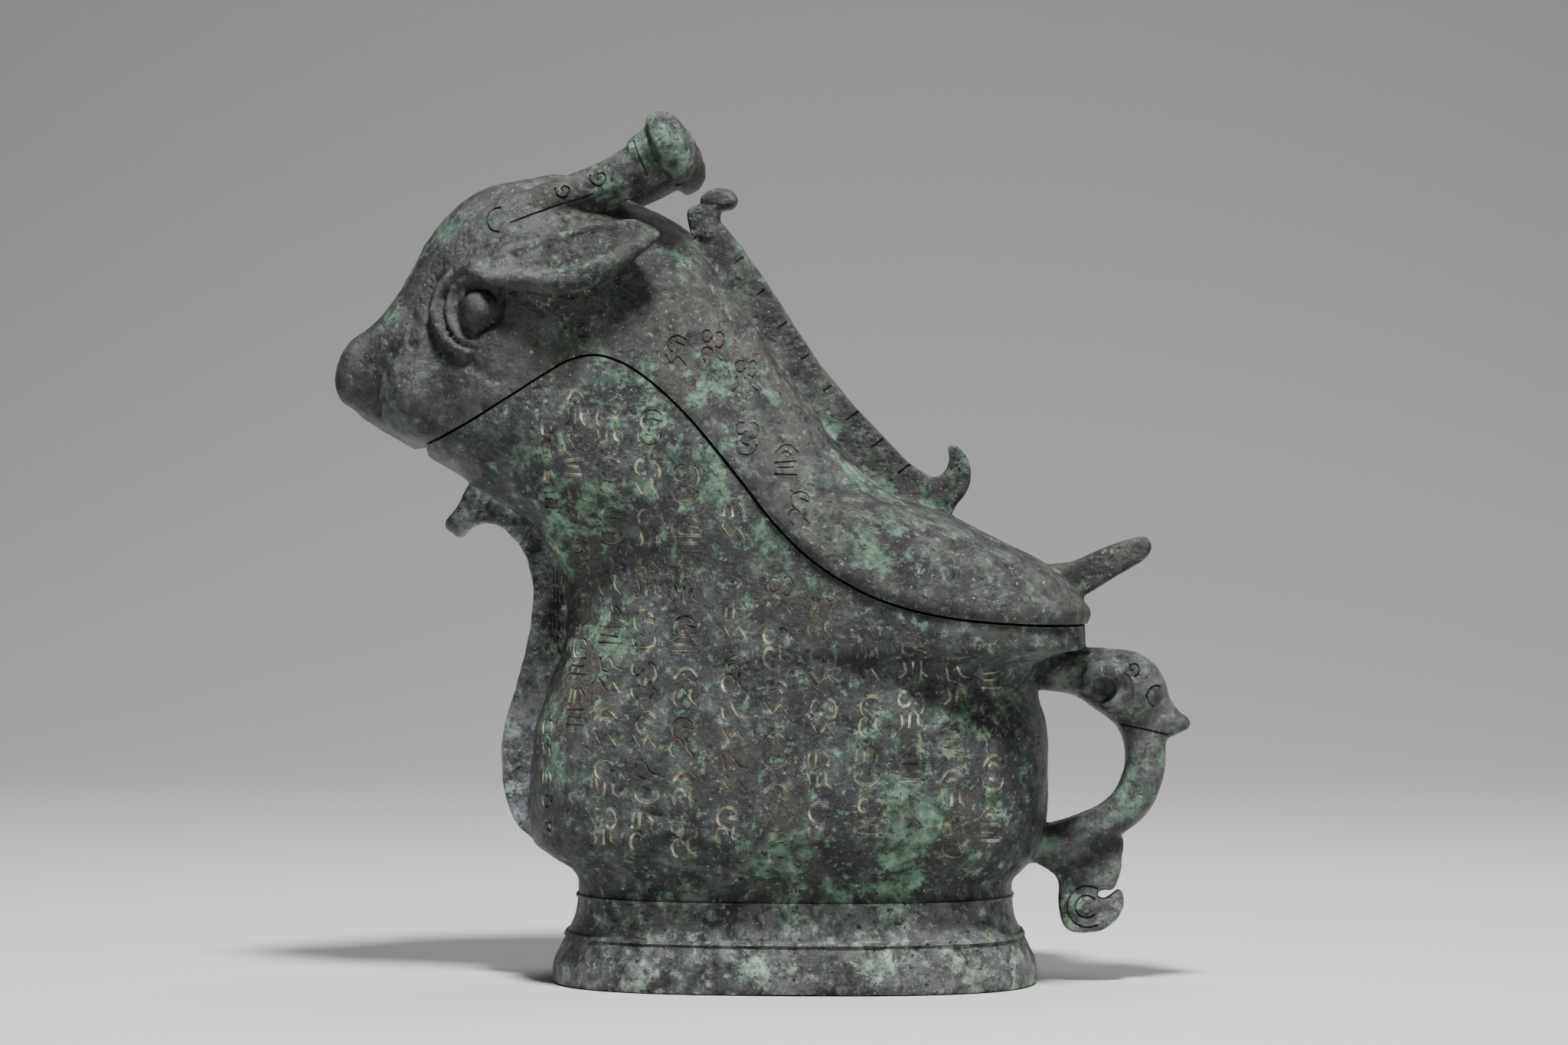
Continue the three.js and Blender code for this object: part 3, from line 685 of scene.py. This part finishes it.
def mark(cx, cz, wide, tall):
    """One upright group of strokes about a place: curls, hooks and slanted bars that cross nowhere."""
    def curl(u, v, r, s, a, b):
        return [(u + r * math.cos(t), v + s * math.sin(t)) for t in np.linspace(a, b, 9)]

    def shift():
        return chance.uniform(-0.05, 0.05)

    top, foot = chance.integers(0, 5), chance.integers(0, 5)
    strokes = [
        [curl(0.5 + shift(), 0.70, 0.36, 0.27, 0.4, 4.2), [(0.50, 0.74 + shift()), (0.84, 0.66)]],
        [[(0.10, 0.96 + shift()), (0.16, 0.64), (0.44, 0.56)],
         [(0.44 + shift(), 0.98), (0.62, 0.72), (0.92, 0.66)]],
        [curl(0.28, 0.78, 0.20, 0.20, 0.9, 6.0), curl(0.74, 0.70 + shift(), 0.20, 0.26, -2.4, 2.2)],
        [[(0.08, 0.66), (0.34, 0.90 + shift()), (0.62, 0.94), (0.92, 0.72)],
         [(0.30, 0.66), (0.52, 0.74 + shift()), (0.70, 0.62)]],
        [[(0.22 + shift(), 1.0), (0.14, 0.60)], [(0.44, 0.96), (0.42 + shift(), 0.58)],
         [(0.66, 0.98), (0.86, 0.80), (0.80, 0.58)]],
    ][top]
    strokes = strokes + [
        [[(0.16, 0.46), (0.24, 0.14), (0.04 + shift(), 0.0)], [(0.48, 0.44), (0.46 + shift(), 0.04)],
         [(0.76, 0.46), (0.74, 0.16), (0.98, 0.02)]],
        [curl(0.5, 0.24 + shift(), 0.40, 0.24, 2.6, 6.6), [(0.34, 0.34), (0.62 + shift(), 0.28)]],
        [[(0.06, 0.42 + shift()), (0.90, 0.44)], [(0.12, 0.24), (0.80, 0.22 + shift())],
         [(0.06, 0.04), (0.94, 0.02)]],
        [curl(0.30, 0.22, 0.22, 0.24, 0.2, 4.6), [(0.66 + shift(), 0.48), (0.62, 0.20), (0.90, 0.0)]],
        [[(0.10, 0.40), (0.36 + shift(), 0.08), (0.60, 0.36), (0.90, 0.06 + shift())]],
    ][foot]
    return [[(cx + (u - 0.5) * wide, cz + (v - 0.5) * tall) for u, v in s] for s in strokes]


def cut_marks(target, places, width, depth, slot):
    """Cuts a mark at each place; each cut takes only one stroke of a mark, so that none cross in it."""
    batches = [[] for _ in range(6)]
    for place in places:
        for k, stroke in enumerate(mark(*place)):
            batches[k].append(stroke)
    for batch in batches:
        engrave(target, batch, width, depth, slot=slot)


MARK_WIDTH = 9.8
MARK_HEIGHT = 12.8
MARK_STEP = 16.6
LOWEST_MARK = 46
STROKE_WIDTH = 1.15
STROKE_DEPTH = 0.6
WORN_AWAY = 0.07  # share of the marks that the ground has eaten
rows = [-80.5, -71, -59.5, -47, -33.5, -18, -3, 11, 27, 41, 55, 66.5]


def mark_places():
    """A middle, a width and a height for each mark, row by row; marks near the body's ends are narrow."""
    for number, row in enumerate(rows):
        narrow = 0.45 if row < -76 else 0.72 if row < -66 else 0.8 if row > 60 else 1.0
        top = float(seam(row)) - (16 if number % 2 else 22)
        for height in np.arange(top, LOWEST_MARK, -MARK_STEP):
            if chance.random() >= WORN_AWAY:
                yield row + chance.uniform(-1.2, 1.2), height, MARK_WIDTH * narrow, MARK_HEIGHT


cut_marks(vessel, mark_places(), STROKE_WIDTH, STROKE_DEPTH, IN_GROOVES)

# curls cut in the handle's head, its jaw, and the spur
jaw = [(110, 87.2), (118, 85.6), (126, 83.6)]
outer_lines = [spiral(114, 106, 3.2, 200, 1.2), jaw, arc(99, 25.5, 7.0, 60, 300)]
inner_lines = [arc(98.6, 25.5, 3.8, 40, 320), arc(122.2, 96.8, 3.6, 70, 250)]
for side in (-1, 1):
    engrave(vessel, outer_lines, 0.9, 0.5, side=side)
    engrave(vessel, inner_lines, 1.0, 0.5, side=side)
finish_skin(without_crumbs(vessel))
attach(vessel, "root")
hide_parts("vessel")


# The lid
# The beast's head and back, cast hollow in one with its ears, bottle-shaped horns, crest and tail.
# It lies loose on the vessel's rim and a tongue inside the mouth keeps it in place.

LID_GRAIN = 1.1
LEDGE = 4.0  # the lid's wall is solid up to this height over the seam, and carries the tongue
TONGUE_INSET = 5.0
TONGUE_DEPTH = 7.0
CORE_INSET = 7.6

clay = Clay(LID_GRAIN, (-160, 126), 58, (116, 297))

# towards the tail the lid swells a little above the seam, with a shallow hollow over the swelling
over = clay.z[None, :] - seam(clay.x)[:, None]
shoulder = 2.1 * np.exp(-((over - 4.5) / 4.2) ** 2) - 1.2 * np.exp(-((over - 17) / 8) ** 2)
shoulder *= np.clip((clay.x[:, None] + 60) / 30, 0, 1)
clay.field -= shoulder[:, None, :]


def on_side(path, out):
    """Places of the side view put on the head's surface, or above it by a little."""
    placed = []
    for x, z in path:
        low, high = ends(z, 0)
        u = (2 * x - low - high) / (high - low)
        power = square_front(z) if u < 0 else square_rear(z)
        half = full_width(x, z, 0) * max(1e-3, 1 - abs(u) ** power) ** (1 / power)
        placed.append((x, float(half) + out, z))
    return placed


# muzzle: two full cheeks of the upper lip, the nose between them, and the crease that parts them
clay.work(lump((-124.0, 14.0, 199.0), (16.2, 14.0, 17.6)), 2.0)
clay.work(lump((-146.6, 4.5, 207), (9.2, 9.0, 13.5), turn=-20), 2.0)
crease = [(-128.5, 224.5), (-132, 218), (-137.0, 210.5), (-140.3, 205), (-141.8, 198.5), (-141, 191.5)]
clay.work(bar(on_side(crease, 0.9), [0.5, 1.4, 2.0, 2.2, 2.2, 1.8]), 1.4, carve=True)

# horns: round bars that grow out of the brow, each with a cap like a stopper
clay.work(bar([(-113, 15.5, 244), (-106, 17, 251.5), (-96, 17.5, 257), (-80, 18.2, 262.4),
               (-64, 19.6, 267.6), (-52, 21, 273.6), (-44, 22, 279.2)],
              [2.6, 5.0, 6.4, 7.3, 7.6, 8.2, 8.9]), 1.4)
cap_foot = (-44.9, 22.0, 278.8)
cap_along = np.array((0.912, 0.08, 0.402))
cap_along /= np.linalg.norm(cap_along)


def lathe(centre, along, profile):
    """A round form about an axis: a radius for each distance along it."""
    radius = curve(profile)
    start, stop = profile[0][0], profile[-1][0]

    def distance(x, y, z):
        dx, dy, dz = x - centre[0], y - centre[1], z - centre[2]
        t = dx * along[0] + dy * along[1] + dz * along[2]
        r = np.sqrt(np.maximum(dx * dx + dy * dy + dz * dz - t * t, 0))
        return np.maximum(r - radius(t), np.maximum(start - t, t - stop)) * 0.8

    return distance, (centre[0] - 24, centre[0] + 24), (centre[2] - 24, centre[2] + 24)


clay.work(lathe(cap_foot, cap_along, [
    (-8, 8.0), (-3.2, 8.8), (-0.6, 9.5), (0.3, 9.8), (1.0, 11.7), (2.6, 12.4),
    (5.0, 12.4), (7.6, 11.5), (9.8, 9.3), (11.4, 5.6), (12.2, 0.2)]), 0.4)

# crest along the back with its hook, the bud at its top, and the tail tab
crest = plate([
    (-30, 256.5), (-26, 257.6), (-20.6, 251.6), (-9.9, 236.8), (5.7, 212.8), (16.2, 199.2), (26.6, 187.6),
    (37, 177), (43, 172.2), (47.4, 170.2), (50.9, 172.4), (52.4, 177), (52.1, 180.4), (54.4, 181),
    (58.2, 177.6), (59.8, 172), (58.6, 165.6), (54.6, 160.6), (48, 150), (36, 152), (24, 160),
    (6, 180), (-12, 206), (-30, 232), (-40, 244)], 3.8, 1.3)
clay.work(crest, 2.2)
clay.work(plate([
    (-36, 261.2), (-30.6, 263.4), (-25.4, 261.6), (-25.6, 257), (-27, 251.6), (-31, 250.4), (-34.6, 252),
    (-36, 256.4)], 5.2, 2.2), 0.6)
clay.work(plate([
    (-32.4, 264.8), (-27.6, 268.4), (-22.2, 268.2), (-19.2, 265), (-20.6, 261.6), (-25, 260.6), (-30, 262.2)],
    5.6, 2.8), 0.3)
clay.work(plate([
    (80, 136), (86, 140.6), (94, 141.8), (104.2, 146.2), (114.5, 149.8), (118, 150.4), (120, 148.6),
    (120.4, 146), (118.6, 143), (109.3, 136.9), (99, 130.6), (86, 124)], 6.3, 1.8), 1.5)

# ears: leaf-shaped, flared out at their lower edge, which is rolled into a thick lobe
EAR_STAND, EAR_LEAN, EAR_FLARE, EAR_TOP = 45.6, 0.16, 0.42, 246
ear = [(-108, 239.6), (-94, 245.6), (-78, 250), (-63.8, 254.2), (-53, 255.6), (-45.4, 253), (-42.6, 249.4),
       (-46, 246.2), (-52, 241), (-60, 235), (-72, 231), (-88, 231.6), (-100, 234.6)]
clay.work(plate(ear, 2.3, 1.8, lean=EAR_LEAN, stand=EAR_STAND, flare=EAR_FLARE, flare_from=EAR_TOP), 0.8)
lobe = [(-101, 235.6), (-90, 235.4), (-79.6, 234.6), (-71, 235.2), (-62.3, 238.6), (-54, 243.4),
        (-46.8, 248.2)]
fold = [(-98, 239.4), (-88.3, 240), (-77.5, 240.2), (-70, 241.4), (-60.2, 244.6), (-50, 249)]
edge = [(-98, 243.4), (-86, 247.2), (-74, 250.4), (-62, 253.0), (-52, 253.8), (-45.6, 251)]


def on_ear(path, out):
    """Places of the side view put on the middle of the ear's leaf, or outside it by a little."""
    return [(x, EAR_STAND + EAR_LEAN * x + EAR_FLARE * (EAR_TOP - z) + out, z) for x, z in path]


clay.work(bar(on_ear(lobe, 1.0), [1.6, 3.4, 4.3, 4.5, 4.0, 3.0, 1.7]), 0.6)
clay.work(bar(on_ear(fold, 3.2), [0.6, 1.1, 1.2, 1.2, 1.1, 0.6]), 0.5, carve=True)
clay.work(bar(on_ear(edge, 1.7), [1.0, 1.5, 1.6, 1.5, 1.3, 0.9]), 0.6)

# eyes: a ball in a hollow, with two raised lids in front that run up into the ear's upper edge
lid_line = [(-78, 250.6), (-86, 248), (-95, 245.4), (-103.4, 242.6), (-110.9, 239.2), (-116.4, 234.8),
            (-119, 229.4), (-119, 223.4), (-116.8, 217.8), (-112.6, 213.4), (-107, 211.6)]
inner_line = [(-96, 240), (-102, 239), (-107.6, 237), (-111.9, 234), (-114.2, 229.4), (-114.2, 223.9),
              (-112.3, 219), (-108.3, 215.4), (-103, 214.4)]
undercut = [(-113.6, 241.6), (-119.4, 236.6), (-122.4, 229.6), (-122.2, 222.6), (-119.8, 216)]
clay.work(lump((-104.6, 33, 226.4), (10.0, 5.4, 9.2)), 1.6, carve=True)
clay.work(bar(on_side(lid_line, 0.9), [1.0, 1.6, 1.9, 2.1, 2.3, 2.4, 2.4, 2.3, 2.1, 1.7, 0.9]), 0.5)
clay.work(bar(on_side(inner_line, 0.1), [0.9, 1.3, 1.5, 1.6, 1.7, 1.7, 1.6, 1.4, 0.8]), 0.4)
clay.work(bar(on_side(undercut, 0.8), [0.4, 1.5, 1.9, 1.7, 0.5]), 0.6, carve=True)
clay.work(lump((-103.8, 25.8, 226.5), (8.2, 4.2, 7.8)), 0.5)
clay.work(lump((-103.8, 28.0, 226.5), (6.3, 6.8, 6.2)), 0.5)

points, quads, out = clay.skin()
x, y, z = points.T
lift = casting_skin(points, 29)

# a shallow hollow runs down each cheek behind the muzzle
far = np.full(len(points), 1e9)
cheek_line = [(-126, 222), (-118, 215.5), (-108, 207.5), (-98, 202)]
for (ax, az), (bx, bz) in zip(cheek_line[:-1], cheek_line[1:]):
    ex, ez = bx - ax, bz - az
    t = np.clip(((x - ax) * ex + (z - az) * ez) / (ex * ex + ez * ez), 0, 1)
    far = np.minimum(far, np.hypot(x - ax - t * ex, z - az - t * ez))
beside = np.clip((np.abs(out[:, 1]) - 0.25) / 0.3, 0, 1)
lift -= 0.7 * np.exp(-(far / 2.6) ** 2) * beside
points = points + out * lift[:, None]

lid_ground = (0.026, 0.029, 0.024)
lid_bronze = bronze("lid_bronze", lid_ground, (0.060, 0.100, 0.068), (0.040, 0.037, 0.030), 0.40,
                    relief=0.8, gloss=0.95, speckle=0.9)
head_bronze = bronze("head_bronze", (0.028, 0.030, 0.027), (0.055, 0.085, 0.064), (0.042, 0.041, 0.040),
                     0.30, worn_amount=0.6, relief=0.6, gloss=1.05, speckle=0.5)
skin_materials = [lid_bronze, head_bronze, groove_earth, inside_bronze]
ON_BACK, ON_HEAD, IN_GROOVES, INSIDE = range(4)
lid = dress(face_out(shape("lid_casting", points, quads)), skin_materials)
centres = points[quads].mean(1)
head_faces = (centres[:, 0] + 9 * mottle(centres, 9, 5) < -82) & (centres[:, 2] > 150)
lid.data.polygons.foreach_set("material_index", np.where(head_faces, ON_HEAD, ON_BACK).astype(np.int32))

combine(lid, finished_as(seam_cutter("above_the_seam", SEAM_GAP, None), ON_BACK), "INTERSECT")
upper_hollow = face_out(form_cutter("inside_of_lid", VESSEL_WALL, 60, INSIDE_TOP))
combine(upper_hollow, face_out(seam_cutter("over_the_ledge", LEDGE, None)), "INTERSECT")
combine(lid, finished_as(upper_hollow, INSIDE), "DIFFERENCE")
tongue = finished_as(form_cutter("tongue", TONGUE_INSET, 90, 240), INSIDE)
tongue_band = seam_cutter("tongue_band", -TONGUE_DEPTH, LEDGE / 2, from_x=-92, to_x=100)
combine(tongue, face_out(tongue_band), "INTERSECT")
combine(lid, tongue, "UNION")
core = form_cutter("core_of_lid", CORE_INSET, 88, 264)
combine(lid, finished_as(core, INSIDE), "DIFFERENCE")

# fine lines: curls and a ring on the horns, segments along the crest, and marks on the neck
horn_lines = [spiral(-64, 270.0, 3.4, 160, 1.3), spiral(-76, 266.0, 3.2, 160, 1.2),
              arc(-98, 256.4, 4.2, 80, 280), [(-94, 255.2), (-80, 260.4), (-66, 264.6)],
              [(-52.6, 282.4), (-50.6, 277), (-47.6, 270.6)]]
segment_feet = [(-20, 243), (-12.6, 232), (-5.2, 221), (2.2, 210), (9.8, 199.4), (17.6, 189.6),
                (26, 180.4), (35, 171.6)]
segments = [[(x0, z0), (x0 + 4.2, z0 + 3.0)] for x0, z0 in segment_feet]
for side in (-1, 1):
    engrave(lid, horn_lines, 1.0, 0.6, side=side)
    engrave(lid, segments, 1.0, 0.5, side=side)
neck_marks = [(-38, 212), (-26, 214), (-15, 204), (-14, 183), (-1, 176), (4, 160)]
cut_marks(lid, [(cx, cz, 8.5, 11) for cx, cz in neck_marks], 0.9, 0.4, ON_BACK)
finish_skin(without_crumbs(lid))
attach(lid, "root")
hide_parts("lid")


# The floor, the light and the view
# A plain pale floor that curves up behind, a soft light from high in front, and two weak ones.

COVE_FROM = 1.0
COVE_RADIUS = 1.2
run = [(-3.0 + 0.25 * i, 0.0) for i in range(17)]
run += [(COVE_FROM + COVE_RADIUS * math.sin(a), COVE_RADIUS - COVE_RADIUS * math.cos(a))
        for a in np.linspace(0.1, math.pi / 2, 14)]
run.append((COVE_FROM + COVE_RADIUS, 4.0))
cove = bpy.data.meshes.new("floor")
cove.from_pydata([(side, y, z) for y, z in run for side in (-4.0, 4.0)], [],
                 [(2 * i, 2 * i + 1, 2 * i + 3, 2 * i + 2) for i in range(len(run) - 1)])
floor = bpy.data.objects.new("floor", cove)
bpy.context.scene.collection.objects.link(floor)
for face in cove.polygons:
    face.use_smooth = True
paper = bpy.data.materials.new("pale_floor")
paper.use_nodes = True
paper.node_tree.nodes["Principled BSDF"].inputs["Base Color"].default_value = (0.56, 0.56, 0.55, 1)
paper.node_tree.nodes["Principled BSDF"].inputs["Roughness"].default_value = 0.9
floor.data.materials.append(paper)

world = bpy.data.worlds.new("pale_room")
bpy.context.scene.world = world
world.use_nodes = True
world.node_tree.nodes["Background"].inputs["Color"].default_value = (0.80, 0.82, 0.85, 1)
world.node_tree.nodes["Background"].inputs["Strength"].default_value = 0.11


def soft_light(name, place, aim, width, power):
    """A round soft lamp that shines at a place."""
    lamp = bpy.data.lights.new(name, "AREA")
    lamp.shape, lamp.size, lamp.energy = "DISK", width, power
    made = bpy.data.objects.new(name, lamp)
    made.location = place
    made.rotation_euler = (Vector(aim) - Vector(place)).to_track_quat("-Z", "Y").to_euler()
    bpy.context.scene.collection.objects.link(made)


soft_light("key", (0.10, -0.42, 1.30), (0, 0, 0.14), 0.22, 38)
soft_light("side", (1.1, -0.8, 0.6), (0, 0, 0.12), 0.5, 2.4)
soft_light("top", (0.1, 0.35, 1.4), (0, 0, 0.15), 0.6, 8)

# the photo is taken level, at the height of the neck, from a little towards the handle
VIEW_DISTANCE = 1.35
VIEW_HEIGHT = 0.155
VIEW_TURN = math.radians(3)
VIEW_AIM = 0.00765
lens = bpy.data.cameras.new("view")
lens.lens = 91.3
lens.sensor_width = 36
camera = bpy.data.objects.new("view", lens)
camera.location = (
    VIEW_AIM + VIEW_DISTANCE * math.sin(VIEW_TURN), -VIEW_DISTANCE * math.cos(VIEW_TURN), VIEW_HEIGHT)
camera.rotation_euler = (math.pi / 2, 0, VIEW_TURN)
bpy.context.scene.collection.objects.link(camera)
bpy.context.scene.camera = camera
